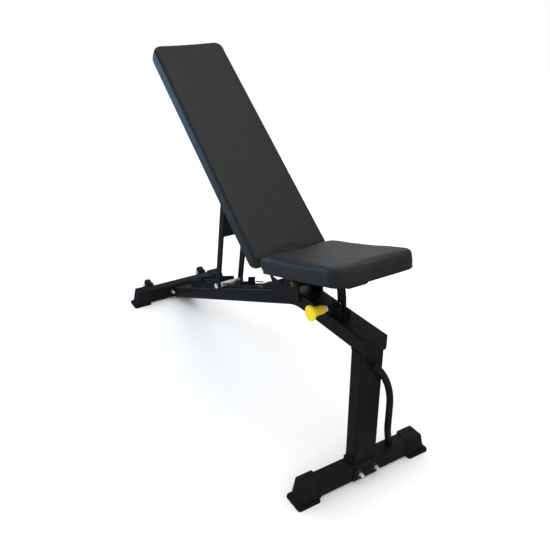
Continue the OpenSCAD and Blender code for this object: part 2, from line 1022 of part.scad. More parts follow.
module backrest_rail()
    color("#1b1c1e")
        on_backrest()
            difference() {
                translate([-rail_len, 0, -rail_n - rail_h/2])
                    rotate([90, 0, 90])
                        linear_extrude(rail_len - 10)
                            tube_section(rail_w, rail_h, 4, tube_t);
                translate([back_hinge[0], 0, back_hinge[1]])
                    bar_y(sleeve_d + 2*eps, -half_w, half_w);
                translate([strut_hinge[0], 0, strut_hinge[1]])
                    bar_y(frame_bolt_d + 0.1, -half_w, half_w);
            }

module backrest_rail_plugs()
    color("#101112")
        on_backrest()
            translate([-rail_len, 0, -rail_n - rail_h/2])
                mirror([1, 0, 0])
                    rail_plug(rail_w, rail_h, tube_t);

// Six screw places of the backrest: [x, y]
function back_screw_spots() = [for (x = back_plates, y = [-70, 70]) [x, y]];

module backrest_mount_plates()
    color("#1b1c1e")
        on_backrest()
            difference() {
                for (x = back_plates)
                    translate([x, 0, 0])
                        slab(38, 176, 6, -rail_n, -back_plate_n);
                for (p = back_screw_spots())
                    translate([p[0], p[1], -100])
                        cylinder(h = 100, d = 6.4);
            }

module back_board()
    color("#2b2622")
        on_backrest()
            difference() {
                translate([0, 0, -back_plate_n])
                    linear_extrude(board_t - eps)
                        pad_outline(board_inset - back_len, -board_inset, board_w,
                                    back_low_r - board_inset, back_top_r - board_inset);
                for (p = back_screw_spots())
                    translate([p[0], p[1], -100])
                        cylinder(h = 100, d = 6.1);
            }

module back_pad()
    color("#3b3d40")
        on_backrest()
            translate([0, 0, -back_pad_t])
                linear_extrude(back_pad_t)
                    pad_outline(-back_len, 0, pad_w, back_low_r, back_top_r);

module back_screws()
    color("#c9ccd0")
        on_backrest()
            for (p = back_screw_spots())
                translate([p[0], p[1], -rail_n])
                    pad_screw(board_t);

// ---------------------------------------------------------------- strut

module strut_bars()
    color("#1b1c1e")
        on_strut()
            both_sides()
                side_plate(bar_y, bar_t)
                    difference() {
                        union() {
                            circle(d = bar_w);
                            translate([0, -strut_len])
                                circle(d = bar_w);
                            translate([-bar_w/2, -strut_len])
                                square([bar_w, strut_len]);
                        }
                        circle(d = frame_bolt_d + 0.1);
                        translate([0, -strut_len])
                            circle(d = rod_d + 0.1);
                    }

// Stiffener between the bars, near their front edges
module strut_cross_plate() {
    top = 138;
    bottom = 218;
    color("#1b1c1e")
        on_strut()
            translate([6, -bar_y + eps, -bottom])
                cube([4, 2*bar_y - 2*eps, bottom - top]);
}

module strut_rod() {
    half = rod_len/2;
    color("#d5d8dc")
        on_strut()
            translate([0, 0, -strut_len]) {
                bar_y(rod_d, -half + 1.5, half - 1.5);
                both_sides()
                    translate([0, half - 1.5, 0])
                        rotate([-90, 0, 0])
                            cylinder(h = 1.5, d1 = rod_d, d2 = rod_d - 3);
            }
}

module at_strut_pivot()
    translate([strut_pivot_x, 0, strut_pivot_z])
        children();

module strut_hinge_bolt() {
    grip = bar_y + bar_t + 0.4;
    color("#c9ccd0")
        at_strut_pivot() {
            bar_y(frame_bolt_d, -grip, grip + 10);
            hex_y(nut_af, -grip - 6.4, -grip);
        }
}

module strut_hinge_nut() {
    grip = bar_y + bar_t + 0.4;
    color("#c9ccd0")
        at_strut_pivot()
            difference() {
                hex_y(nut_af, grip, grip + nut_h);
                bar_y(frame_bolt_d + 0.1, grip - 1, grip + nut_h + 1);
            }
}

module strut_spacers()
    color("#c9ccd0")
        at_strut_pivot()
            both_sides()
                difference() {
                    bar_y(18, rail_w/2 + eps, bar_y - 0.3);
                    bar_y(frame_bolt_d + 0.1, 0, bar_y + 1);
                }

// ---------------------------------------------------------------- output

front_crossbar();
rear_crossbar();
front_foot_caps();
rear_foot_caps();
main_beam();
beam_end_plug();
beam_end_plate();
front_post();
front_saddle();
lift_handle();
ladder_plates();
upright_plates();
leg_guide();
front_frame_bolts();
front_frame_nuts();
rear_frame_bolts();
rear_frame_nuts();
frame_washers();
wheel_brackets();
wheel_axle_bolts();
wheel_axle_nuts();
left_wheel();
right_wheel();
seat_pivot_bolt();
seat_pivot_nut();
seat_pivot_bushes();
seat_hinge_sleeve();
seat_rail();
seat_rail_plugs();
seat_mount_plates();
seat_board();
seat_pad();
seat_screws();
seat_leg();
pin_barrel();
pin_collar();
pin_spring();
pull_pin();
pull_knob();
backrest_pivot_bolt();
backrest_pivot_nut();
backrest_pivot_bushes();
backrest_hinge_sleeve();
backrest_rail();
backrest_rail_plugs();
backrest_mount_plates();
back_board();
back_pad();
back_screws();
strut_bars();
strut_cross_plate();
strut_rod();
strut_hinge_bolt();
strut_hinge_nut();
strut_spacers();
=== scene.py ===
import json
import math

import bmesh
import bpy
import numpy as np
from mathutils import Matrix, Vector
from mathutils import noise as mnoise


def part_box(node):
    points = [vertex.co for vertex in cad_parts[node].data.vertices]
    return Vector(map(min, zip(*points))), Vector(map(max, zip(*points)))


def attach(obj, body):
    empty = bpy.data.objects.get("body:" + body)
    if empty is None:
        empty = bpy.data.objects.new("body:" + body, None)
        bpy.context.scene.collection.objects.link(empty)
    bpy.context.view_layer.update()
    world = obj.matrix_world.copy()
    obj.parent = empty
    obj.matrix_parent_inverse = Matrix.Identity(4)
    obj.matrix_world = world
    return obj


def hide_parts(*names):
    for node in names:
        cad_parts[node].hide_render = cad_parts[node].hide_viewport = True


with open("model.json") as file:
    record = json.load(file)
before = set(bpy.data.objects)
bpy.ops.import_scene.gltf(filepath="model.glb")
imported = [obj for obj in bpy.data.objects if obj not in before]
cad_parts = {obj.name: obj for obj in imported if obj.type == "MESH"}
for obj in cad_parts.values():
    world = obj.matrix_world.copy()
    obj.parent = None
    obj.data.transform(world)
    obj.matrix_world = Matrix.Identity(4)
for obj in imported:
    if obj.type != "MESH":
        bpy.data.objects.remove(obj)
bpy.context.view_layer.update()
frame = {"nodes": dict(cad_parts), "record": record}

NODES = frame["nodes"]
SLOT_OF = {s["node"]: s["material_slot"] for s in frame["record"]["subparts"]}


# ---------------------------------------------------------------- camera
CAMERA_AT = (1.5055, -0.7919, 1.150)
CAMERA_PITCH = 26.23    # degrees below level
CAMERA_YAW = 30.74      # degrees from -X toward +Y
CAMERA_ROLL = -0.0080   # radians
CAMERA_LENS = 40.64     # mm, on a 36 mm sensor


def make_camera():
    """Looks down at the bench from beyond its seat end, on the seated user's right."""
    pitch, yaw, roll = math.radians(CAMERA_PITCH), math.radians(CAMERA_YAW), CAMERA_ROLL
    a = math.pi - yaw
    fw = Vector((math.cos(a)*math.cos(pitch), math.sin(a)*math.cos(pitch), -math.sin(pitch)))
    rt = Vector((math.sin(a), -math.cos(a), 0.0))
    up = rt.cross(fw)
    rt, up = (rt*math.cos(roll) + up*math.sin(roll), -rt*math.sin(roll) + up*math.cos(roll))
    data = bpy.data.cameras.new("camera")
    data.sensor_width, data.lens = 36.0, CAMERA_LENS
    data.clip_start, data.clip_end = 0.05, 100.0
    cam = bpy.data.objects.new("camera", data)
    m = Matrix.Identity(4)
    for i in range(3):
        m[i][0], m[i][1], m[i][2] = rt[i], up[i], -fw[i]
    m.translation = Vector(CAMERA_AT)
    cam.matrix_world = m
    bpy.context.scene.collection.objects.link(cam)
    bpy.context.scene.camera = cam


make_camera()
bpy.context.scene.view_settings.view_transform = "Standard"


# ---------------------------------------------------------------- materials
class Mat:
    """A Principled material with short helpers for its node tree."""

    def __init__(self, name, rough=0.5, metal=0.0, spec=0.5):
        self.m = bpy.data.materials.new(name)
        self.m.use_nodes = True
        self.t = self.m.node_tree
        self.b = self.t.nodes["Principled BSDF"]
        self.b.inputs["Roughness"].default_value = rough
        self.b.inputs["Metallic"].default_value = metal
        self.b.inputs["Specular IOR Level"].default_value = spec
        self.co = self.node("ShaderNodeTexCoord").outputs["Object"]

    def node(self, kind, **props):
        n = self.t.nodes.new(kind)
        for k, v in props.items():
            setattr(n, k, v)
        return n

    def link(self, a, b):
        self.t.links.new(a, b)

    def space(self, scale=(1, 1, 1), rot=(0, 0, 0)):
        """Object coordinates, stretched and turned."""
        n = self.node("ShaderNodeMapping")
        n.inputs["Scale"].default_value = scale
        n.inputs["Rotation"].default_value = rot
        self.link(self.co, n.inputs["Vector"])
        return n.outputs["Vector"]

    def noise(self, scale, detail=3.0, rough=0.5, at=None, distort=0.0):
        n = self.node("ShaderNodeTexNoise")
        n.inputs["Scale"].default_value = scale
        n.inputs["Detail"].default_value = detail
        n.inputs["Roughness"].default_value = rough
        n.inputs["Distortion"].default_value = distort
        self.link(at or self.co, n.inputs["Vector"])
        return n.outputs["Fac"]

    def cells(self, scale, feature="DISTANCE_TO_EDGE", at=None):
        n = self.node("ShaderNodeTexVoronoi", feature=feature)
        n.inputs["Scale"].default_value = scale
        self.link(at or self.co, n.inputs["Vector"])
        return n.outputs["Distance"]

    def ramp(self, fac, *stops):
        """Colour ramp from (position, colour or grey) stops."""
        n = self.node("ShaderNodeValToRGB")
        e = n.color_ramp.elements
        while len(e) < len(stops):
            e.new(0.5)
        for el, (pos, col) in zip(e, stops):
            el.position = pos
            el.color = (*col, 1.0) if hasattr(col, "__len__") else (col, col, col, 1.0)
        self.link(fac, n.inputs["Fac"])
        return n.outputs["Color"]

    def math(self, op, a, b):
        n = self.node("ShaderNodeMath", operation=op)
        for sock, v in zip(n.inputs, (a, b)):
            if isinstance(v, (int, float)):
                sock.default_value = v
            else:
                self.link(v, sock)
        return n.outputs[0]

    def span(self, fac, lo, hi, f0=0.3, f1=0.7):
        """The part of fac between f0 and f1, spread over lo to hi."""
        n = self.node("ShaderNodeMapRange")
        for name, v in (("From Min", f0), ("From Max", f1), ("To Min", lo), ("To Max", hi)):
            n.inputs[name].default_value = v
        self.link(fac, n.inputs["Value"])
        return n.outputs["Result"]

    def mix(self, fac, a, b, kind="MIX"):
        n = self.node("ShaderNodeMix", data_type="RGBA", blend_type=kind)
        for sock, v in ((n.inputs[0], fac), (n.inputs[6], a), (n.inputs[7], b)):
            if isinstance(v, (int, float)):
                sock.default_value = v
            elif isinstance(v, tuple):
                sock.default_value = (*v, 1.0)
            else:
                self.link(v, sock)
        return n.outputs[2]

    def color(self, out):
        self.link(out, self.b.inputs["Base Color"])

    def rough(self, out):
        self.link(out, self.b.inputs["Roughness"])

    def bump(self, height, dist, strength=1.0, under=None):
        n = self.node("ShaderNodeBump")
        n.inputs["Distance"].default_value = dist
        n.inputs["Strength"].default_value = strength
        self.link(height, n.inputs["Height"])
        if under is not None:
            self.link(under, n.inputs["Normal"])
        self.link(n.outputs["Normal"], self.b.inputs["Normal"])
        return n.outputs["Normal"]

    def set(self, **sockets):
        for k, v in sockets.items():
            self.b.inputs[k.replace("_", " ")].default_value = v
        return self


def frame_paint():
    """Satin black powder coat: fine orange peel, faint mottling, small dull rubs."""
    p = Mat("frame_paint", spec=0.26)
    broad, fine = p.noise(14, 4), p.noise(260, 3, 0.6)
    base = p.ramp(broad, (0.32, (0.0034, 0.0035, 0.0037)), (0.68, (0.0062, 0.0063, 0.0065)))
    rubs = p.math("GREATER_THAN", p.math("MULTIPLY", p.noise(55, 5, 0.7), fine), 0.375)
    p.color(p.mix(p.math("MULTIPLY", rubs, 0.30), base, (0.014, 0.0145, 0.015)))
    p.rough(p.span(p.noise(40, 5, 0.65), 0.36, 0.50))
    peel = p.bump(p.noise(620, 2, 0.45), 0.00035, 0.35)
    p.bump(p.noise(2600, 2, 0.5), 0.00008, 0.35, under=peel)
    return p.m


def rubber_black():
    """Matt moulded rubber with a little dust on it."""
    p = Mat("rubber_black", spec=0.22)
    dust = p.noise(30, 6, 0.7)
    p.color(p.ramp(dust, (0.35, (0.0048, 0.0049, 0.0051)), (0.75, (0.0105, 0.0106, 0.0108))))
    p.rough(p.span(p.noise(90, 4), 0.52, 0.74))
    p.bump(p.noise(1500, 3, 0.6), 0.00022, 0.5)
    return p.m


def bright_zinc():
    """Bright plating on bolt heads and studs, faintly brushed."""
    p = Mat("bright_zinc", metal=0.45, spec=0.8)
    p.color(p.ramp(p.noise(120, 4), (0.3, (0.62, 0.64, 0.66)), (0.7, (0.84, 0.85, 0.86))))
    p.rough(p.span(p.noise(500, 4, 0.7), 0.16, 0.36))
    p.bump(p.noise(900, 3, at=p.space((1, 6, 1))), 0.00006, 0.5)
    return p.m


def dull_zinc():
    """Zinc on nuts and washers: greyer and more matt than on the bolts, darker in its grain."""
    p = Mat("dull_zinc", metal=1.0)
    p.color(p.ramp(p.noise(90, 5, 0.65), (0.3, (0.20, 0.21, 0.22)), (0.7, (0.38, 0.39, 0.40))))
    p.rough(p.span(p.noise(420, 4, 0.7), 0.30, 0.50))
    p.bump(p.noise(700, 3), 0.00008, 0.5)
    return p.m


def chrome_rod():
    """Polished rod, its fine marks drawn out along Y."""
    p = Mat("chrome_rod", metal=0.40, spec=0.9)
    p.color(p.ramp(p.noise(60, 4), (0.3, (0.82, 0.83, 0.84)), (0.7, (0.92, 0.92, 0.93))))
    p.rough(p.span(p.noise(420, 5, 0.7, at=p.space((1, 0.08, 1))), 0.05, 0.20))
    p.bump(p.noise(1200, 3, at=p.space((1, 0.05, 1))), 0.00003, 0.4)
    return p.m


def yellow_zinc():
    """Yellow-passivated hinge bolts with a drifting tint."""
    p = Mat("yellow_zinc", metal=1.0)
    tone = p.ramp(p.noise(110, 4, distort=0.8), (0.25, (0.30, 0.20, 0.06)),
                  (0.5, (0.42, 0.31, 0.10)), (0.75, (0.35, 0.29, 0.15)))
    p.color(tone)
    p.rough(p.span(p.noise(420, 4), 0.24, 0.42))
    p.bump(p.noise(800, 3), 0.00006, 0.4)
    return p.m


def black_plastic():
    """Fine-grained moulded plastic for wheels, plugs and bushes."""
    p = Mat("black_plastic", spec=0.28)
    p.color(p.ramp(p.noise(45, 4), (0.35, (0.0042, 0.0043, 0.0045)), (0.7, (0.0080, 0.0081, 0.0084))))
    p.rough(p.span(p.noise(200, 4), 0.42, 0.60))
    p.bump(p.cells(1100, "F1"), 0.00012, 0.4)
    return p.m


def knob_yellow():
    """Moulded yellow: bright at the mushroom face, deeper along the stem, fine spark texture."""
    p = Mat("knob_yellow", spec=0.35)
    lo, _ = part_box("pull_knob")
    sep = p.node("ShaderNodeSeparateXYZ")
    p.link(p.co, sep.inputs[0])
    along = p.span(sep.outputs["Y"], 0.0, 1.0, lo.y + 0.013, lo.y + 0.020)
    bright = p.ramp(p.noise(160, 3), (0.3, (0.80, 0.60, 0.008)), (0.7, (0.88, 0.71, 0.016)))
    p.color(p.mix(along, bright, (0.62, 0.40, 0.006)))
    p.rough(p.span(p.noise(300, 4), 0.26, 0.42))
    p.bump(p.cells(900, "F1"), 0.00016, 0.45)
    return p.m


def pad_leather():
    """Coated upholstery: small pebbled grain with painted shade in its valleys, soft sheen, faint
    handling marks.
    """
    p = Mat("pad_leather", spec=0.44)
    warp = p.node("ShaderNodeVectorMath", operation="ADD")
    scaled = p.node("ShaderNodeVectorMath", operation="SCALE")
    wob = p.node("ShaderNodeTexNoise")
    wob.inputs["Scale"].default_value = 190
    p.link(p.co, wob.inputs["Vector"])
    p.link(wob.outputs["Color"], scaled.inputs[0])
    scaled.inputs["Scale"].default_value = 0.0016
    p.link(p.co, warp.inputs[0])
    p.link(scaled.outputs[0], warp.inputs[1])
    at = warp.outputs[0]
    pebble = p.cells(620, at=at)
    pores = p.noise(1900, 3, 0.6)
    broad = p.noise(7, 4, 0.55)
    tone = p.ramp(broad, (0.30, (0.0108, 0.0112, 0.0118)), (0.70, (0.0150, 0.0154, 0.0161)))
    # painted shade: the colour is darkened toward the pebbles' edges, down in the grain's valleys
    valley_painted_shade = p.ramp(pebble, (0.0, 0.62), (0.22, 1.0))
    p.color(p.mix(1.0, tone, valley_painted_shade, "MULTIPLY"))
    p.rough(p.math("ADD", p.span(broad, 0.0, 0.08), p.span(p.noise(130, 5, 0.6), 0.40, 0.52)))
    grain = p.bump(p.ramp(pebble, (0.0, 0.0), (0.16, 1.0)), 0.00024, 0.42)
    p.bump(pores, 0.00010, 0.35, under=grain)
    p.set(Sheen_Weight=0.06, Sheen_Roughness=0.45, Sheen_Tint=(0.62, 0.66, 0.72, 1.0))
    return p.m


def board_ply(name, angle):
    """Black-stained plywood; the grain runs along the board, whose slope is angle."""
    p = Mat(name, spec=0.25)
    at = p.space((1, 1, 1), (0, angle, 0))
    stretch = p.node("ShaderNodeMapping")
    stretch.inputs["Scale"].default_value = (0.10, 1, 1)
    p.link(at, stretch.inputs["Vector"])
    grain = p.noise(190, 6, 0.65, at=stretch.outputs["Vector"], distort=0.6)
    rings = p.noise(26, 3, 0.5, at=stretch.outputs["Vector"], distort=1.4)
    tone = p.ramp(p.math("MULTIPLY", grain, p.math("ADD", rings, 0.5)), (0.28, (0.010, 0.0085, 0.0072)),
                  (0.62, (0.034, 0.028, 0.023)))
    sep = p.node("ShaderNodeSeparateXYZ")
    p.link(at, sep.inputs[0])
    plies = p.math("PINGPONG", p.math("MULTIPLY", sep.outputs["Z"], 900.0), 1.0)
    p.color(p.mix(p.math("MULTIPLY", plies, 0.35), tone, (0.012, 0.010, 0.0085)))
    p.rough(p.span(grain, 0.55, 0.80))
    p.bump(grain, 0.0003, 0.4)
    return p.m


def spring_steel():
    """Drawn wire."""
    p = Mat("spring_steel", metal=1.0)
    p.color(p.ramp(p.noise(300, 4), (0.3, (0.34, 0.35, 0.37)), (0.7, (0.52, 0.53, 0.55))))
    p.rough(p.span(p.noise(700, 4), 0.22, 0.40))
    p.bump(p.noise(1500, 3), 0.00004, 0.4)
    return p.m


def weld_paint():
    """The same paint over a weld bead: rougher, with the ripple's own small lumps."""
    p = Mat("weld_paint", spec=0.28)
    p.color(p.ramp(p.noise(90, 4), (0.3, (0.0038, 0.0039, 0.0041)), (0.7, (0.0070, 0.0071, 0.0074))))
    p.rough(p.span(p.noise(150, 4), 0.34, 0.52))
    p.bump(p.noise(420, 3, 0.6), 0.0003, 0.5)
    return p.m


MATS = {
    "frame_paint": frame_paint(), "rubber_black": rubber_black(), "bright_zinc": bright_zinc(),
    "chrome_rod": chrome_rod(), "yellow_zinc": yellow_zinc(), "black_plastic": black_plastic(),
    "knob_yellow": knob_yellow(), "pad_leather": pad_leather(), "spring_steel": spring_steel(),
    "weld_paint": weld_paint(), "dull_zinc": dull_zinc(),
}
DULL = {"front_frame_nuts", "rear_frame_nuts", "frame_washers", "strut_spacers"}


# ---------------------------------------------------------------- pieces in mesh code
def new_piece(name, verts, faces, mat, body, smooth=True):
    """A mesh object with outward normals that rides a body."""
    me = bpy.data.meshes.new(name)
    me.from_pydata([tuple(v) for v in verts], [], faces)
    me.validate()
    bm = bmesh.new()
    bm.from_mesh(me)
    bmesh.ops.recalc_face_normals(bm, faces=bm.faces)
    bm.to_mesh(me)
    bm.free()
    me.polygons.foreach_set("use_smooth", [smooth]*len(me.polygons))
    me.materials.append(mat)
    ob = bpy.data.objects.new(name, me)
    bpy.context.scene.collection.objects.link(ob)
    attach(ob, body)
    return ob


# ---------------------------------------------------------------- cushions
MIN_CORNER = 0.003      # smallest plan radius of an inset outline
VOXEL = 0.005           # remesh size of the foam
SIM_FRAMES = 20         # length of the cloth run
SMOOTH_ROUNDS = 14      # passes over the cloth's displacement
PIN_TOP = 0.014         # the foam is free above this height
PIN_FADE = 0.010        # and its hold grows to full over this much below it
UNDERCUT = 0.005        # the foam is opened at this height, where the cover turns under
BOARD_GAP = 0.0003      # air between the cover and the board
PUCKER = 0.0007         # size of the gathers at the corners


class PadFrame:
    """A pad's own axes from its CAD slab: u along it, y across, n out of its face."""

    def __init__(self, pad, board, up_sign, r_far, r_near):
        co = np.array([v.co for v in NODES[pad].data.vertices], float)
        xz = co[:, [0, 2]] - co[:, [0, 2]].mean(0)
        _, vec = np.linalg.eigh(xz.T @ xz)
        u = vec[:, 1]*(1.0 if vec[0, 1]*up_sign > 0 else -1.0)
        n = np.array([-u[1], u[0]])
        n = n if n[1] > 0 else -n
        self.u = Vector((u[0], 0, u[1]))
        self.n = Vector((n[0], 0, n[1]))
        du, dn = co @ np.array(self.u), co @ np.array(self.n)
        bo = np.array([v.co for v in NODES[board].data.vertices], float)
        bn = bo @ np.array(self.n)
        bu = bo @ np.array(self.u)
        self.a = (du.max() - du.min())/2
        self.b = (co[:, 1].max() - co[:, 1].min())/2
        self.top = dn.max() - bn.min()
        self.board_top = bn.max() - bn.min()
        self.board_inset = du.max() - bu.max()
        self.r_far, self.r_near = r_far, r_near
        c = self.u*((du.max() + du.min())/2) + self.n*bn.min()
        self.m = Matrix(((self.u.x, 0, self.n.x, c.x), (0, 1, 0, 0), (self.u.z, 0, self.n.z, c.z),
                         (0, 0, 0, 1)))
        if self.m.determinant() < 0:
            self.m = self.m @ Matrix.Diagonal((1, -1, 1, 1))

    def outline(self, p, d):
        """The point at inset d that matches outline point p of the full pad."""
        far = p[0] > 0
        r = self.r_far if far else self.r_near
        a, b = self.a, self.b
        sx, sy = (1 if far else -1), (1 if p[1] > 0 else -1)
        cx, cy = a - r, b - r
        r2 = max(r - d, MIN_CORNER)
        cx2, cy2 = a - d - r2, b - d - r2
        x, y = abs(p[0]), abs(p[1])
        if x >= cx and y >= cy:
            ang = math.atan2(max(y - cy, 1e-9), max(x - cx, 1e-9))
            return sx*(cx2 + r2*math.cos(ang)), sy*(cy2 + r2*math.sin(ang))
        if y >= cy or (y/b > x/a):
            return sx*x/cx*cx2, sy*(cy2 + r2)
        return sx*(cx2 + r2), sy*y/cy*cy2

    def ring(self, d, count_arc=10):
        """Points round the outline at inset d, the same number for every d."""
        pts = []
        for sx, sy in ((1, 1), (-1, 1), (-1, -1), (1, -1)):
            r = self.r_far if sx > 0 else self.r_near
            r2 = max(r - d, MIN_CORNER)
            cx, cy = self.a - d - r2, self.b - d - r2
            arc = [(sx*(cx + r2*math.cos(t)), sy*(cy + r2*math.sin(t)))
                   for t in np.linspace(0, math.pi/2, count_arc)]
            pts += arc if sx*sy > 0 else arc[::-1]
        return pts


def smoothed(me, field, rounds):
    """A field on the mesh's points, averaged with the neighbours' values a few times."""
    ends = np.empty(2*len(me.edges), np.int64)
    me.edges.foreach_get("vertices", ends)
    a, b = ends[0::2], ends[1::2]
    degree = np.bincount(ends, minlength=len(field))[:, None].astype(float)
    for _ in range(rounds):
        total = np.stack([np.bincount(a, field[b, k], len(field))
                          + np.bincount(b, field[a, k], len(field))
                          for k in range(3)], axis=1)
        field = 0.5*field + 0.5*total/degree
    return field


def foam_block(name, pf, shrink, roll):
    """Closed block on the pad's outline: lower edge tucked in, upper edge rolled, remeshed."""
    tucked = [(0.0060, 0.0), (0.0032, 0.004), (0.0016, 0.009), (0.0005, 0.016), (0.0, 0.023)]
    top = pf.top - shrink
    wall = [(0.0, top - roll - 0.003)]
    rolled = [(roll*(1 - math.cos(t)), top - roll + roll*math.sin(t))
              for t in np.linspace(0, math.pi/2, 7)]
    rings = [[(x, y, z) for x, y in pf.ring(shrink + d)] for d, z in tucked + wall + rolled]
    k = len(rings[0])
    verts = [v for r in rings for v in r]
    faces = [(i*k + j, i*k + (j + 1) % k, (i + 1)*k + (j + 1) % k, (i + 1)*k + j)
             for i in range(len(rings) - 1) for j in range(k)]
    faces += [tuple(range(k))[::-1], tuple(range((len(rings) - 1)*k, len(rings)*k))]
    me = bpy.data.meshes.new(name + "_foam")
    me.from_pydata(verts, [], faces)
    block = bpy.data.objects.new(name + "_foam", me)
    bpy.context.scene.collection.objects.link(block)
    rm = block.modifiers.new("remesh", "REMESH")
    rm.mode, rm.voxel_size, rm.use_smooth_shade = "VOXEL", VOXEL, True
    dg = bpy.context.evaluated_depsgraph_get()
    even = bpy.data.meshes.new_from_object(block.evaluated_get(dg))
    bpy.data.objects.remove(block)
    ob = bpy.data.objects.new(name + "_sim", even)
    bpy.context.scene.collection.objects.link(ob)
    return ob


def blow_up(ob, rest, pressure):
    """Where the points go in a short cloth run under pressure, with the lower edge held."""
    pin = ob.vertex_groups.new(name="pin")
    for i, z in enumerate(rest[:, 2]):
        w = max(0.0, min(1.0, (PIN_TOP - z)/PIN_FADE))
        if w > 0:
            pin.add([i], w, "REPLACE")
    cl = ob.modifiers.new("cloth", "CLOTH")
    s = cl.settings
    s.quality, s.mass = 4, 0.4
    s.tension_stiffness = s.compression_stiffness = 26
    s.shear_stiffness, s.bending_stiffness = 14, 8.0
    s.vertex_group_mass = "pin"
    s.use_pressure, s.uniform_pressure_force = True, pressure
    s.effector_weights.gravity = 0
    cl.collision_settings.use_collision = False
    scene = bpy.context.scene
    for f in range(1, SIM_FRAMES + 1):
        scene.frame_set(f)
    dg = bpy.context.evaluated_depsgraph_get()
    sim = ob.evaluated_get(dg).to_mesh()
    now = np.array([v.co for v in sim.vertices], float)
    ob.evaluated_get(dg).to_mesh_clear()
    ob.modifiers.remove(cl)
    scene.frame_set(1)
    return now


def swollen(name, pf, shrink, roll, cap, pressure):
    """Foam block blown up a little under its cover, with its travel capped."""
    ob = foam_block(name, pf, shrink, roll)
    me = ob.data
    rest = np.array([v.co for v in me.vertices], float)
    move = smoothed(me, blow_up(ob, rest, pressure) - rest, SMOOTH_ROUNDS)
    far = np.linalg.norm(move, axis=1, keepdims=True)
    move *= cap*np.tanh(far/cap)/np.maximum(far, 1e-9)
    now = rest + move
    now[:, 2] = np.maximum(now[:, 2], 0.0)
    me.vertices.foreach_set("co", now.astype(np.float32).ravel())
    sub = ob.modifiers.new("sub", "SUBSURF")
    sub.levels = sub.render_levels = 1
    dg = bpy.context.evaluated_depsgraph_get()
    out = bpy.data.meshes.new_from_object(ob.evaluated_get(dg))
    bpy.data.objects.remove(ob)
    return out


def pucker(co, pf):
    """Small gathers low on the rounded corners, where the cover is pulled under and stapled."""
    x, y, z = co
    rr = pf.r_far if x > 0 else pf.r_near
    dx, dy = abs(x) - (pf.a - rr), abs(y) - (pf.b - rr)
    if dx <= 0 or dy <= 0:
        return 0.0
    ang = math.atan2(dy, dx)
    low = max(0.0, 1 - z/(pf.top*0.55))
    ends = math.sin(2*ang)
    lump = 0.6 + 0.4*mnoise.noise(Vector((x*60, y*60, 3.0)))
    return PUCKER*low*ends*lump*math.sin(ang*26)


def cushion(name, pad_node, body, pf, mat, shrink, roll, cap, pressure, proud):
    """Crowned cushion whose cover folds round the board's edge and ends in a stapled flange.

    proud is how far the foam stands past the CAD slab at its far end, near end and sides.
    """
    me = swollen(name, pf, shrink, roll, cap, pressure)
    bm = bmesh.new()
    bm.from_mesh(me)
    bpy.data.meshes.remove(me)
    far, near, side = proud
    sx_far = (pf.a + far)/max(v.co.x for v in bm.verts)
    sx_near = (pf.a + near)/-min(v.co.x for v in bm.verts)
    sy = (pf.b + side)/max(abs(v.co.y) for v in bm.verts)
    for v in bm.verts:
        v.co.x *= sx_far if v.co.x > 0 else sx_near
        v.co.y *= sy
    bmesh.ops.bisect_plane(bm, geom=bm.verts[:] + bm.edges[:] + bm.faces[:], dist=1e-6,
                           plane_co=(0, 0, UNDERCUT), plane_no=(0, 0, 1), clear_inner=True)
    for v in bm.verts:
        out = Vector((v.co.x, v.co.y, 0.0)).normalized()
        v.co += out*pucker(v.co, pf)
    edges = [e for e in bm.edges if e.is_boundary]
    inner = pf.board_inset - BOARD_GAP
    over = pf.board_top + BOARD_GAP
    outside = [(0.0040, 0.0022), (0.0062, 0.0000), (0.0095, -0.0012), (0.0260, -0.0014)]
    inside = [(0.0265, -BOARD_GAP), (inner, -BOARD_GAP), (inner, over), (0.0400, over)]
    rings = [(d, z, True) for d, z in outside] + [(d, z, False) for d, z in inside]
    src = {v: (v.co.x, v.co.y) for e in edges for v in e.verts}
    for d, z, pleat in rings:
        res = bmesh.ops.extrude_edge_only(bm, edges=edges)
        new_v = [g for g in res["geom"] if isinstance(g, bmesh.types.BMVert)]
        new_e = [g for g in res["geom"] if isinstance(g, bmesh.types.BMEdge)]
        nxt = {}
        for v in new_v:
            old = next(o.other_vert(v) for o in v.link_edges if o.other_vert(v) in src)
            p = src[old]
            nxt[v] = p
            x, y = pf.outline(p, d)
            v.co = Vector((x, y, z))
            if pleat:
                v.co.z += 0.9*pucker((p[0], p[1], 0.0), pf) - 0.0002
        src, edges = nxt, new_e
    bmesh.ops.edgeloop_fill(bm, edges=edges)
    bmesh.ops.recalc_face_normals(bm, faces=bm.faces)
    bm.transform(pf.m)
    out = bpy.data.meshes.new(name)
    bm.to_mesh(out)
    bm.free()
    out.polygons.foreach_set("use_smooth", [True]*len(out.polygons))
    out.materials.append(mat)
    ob = bpy.data.objects.new(name, out)
    bpy.context.scene.collection.objects.link(ob)
    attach(ob, body)
    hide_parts(pad_node)
    return ob


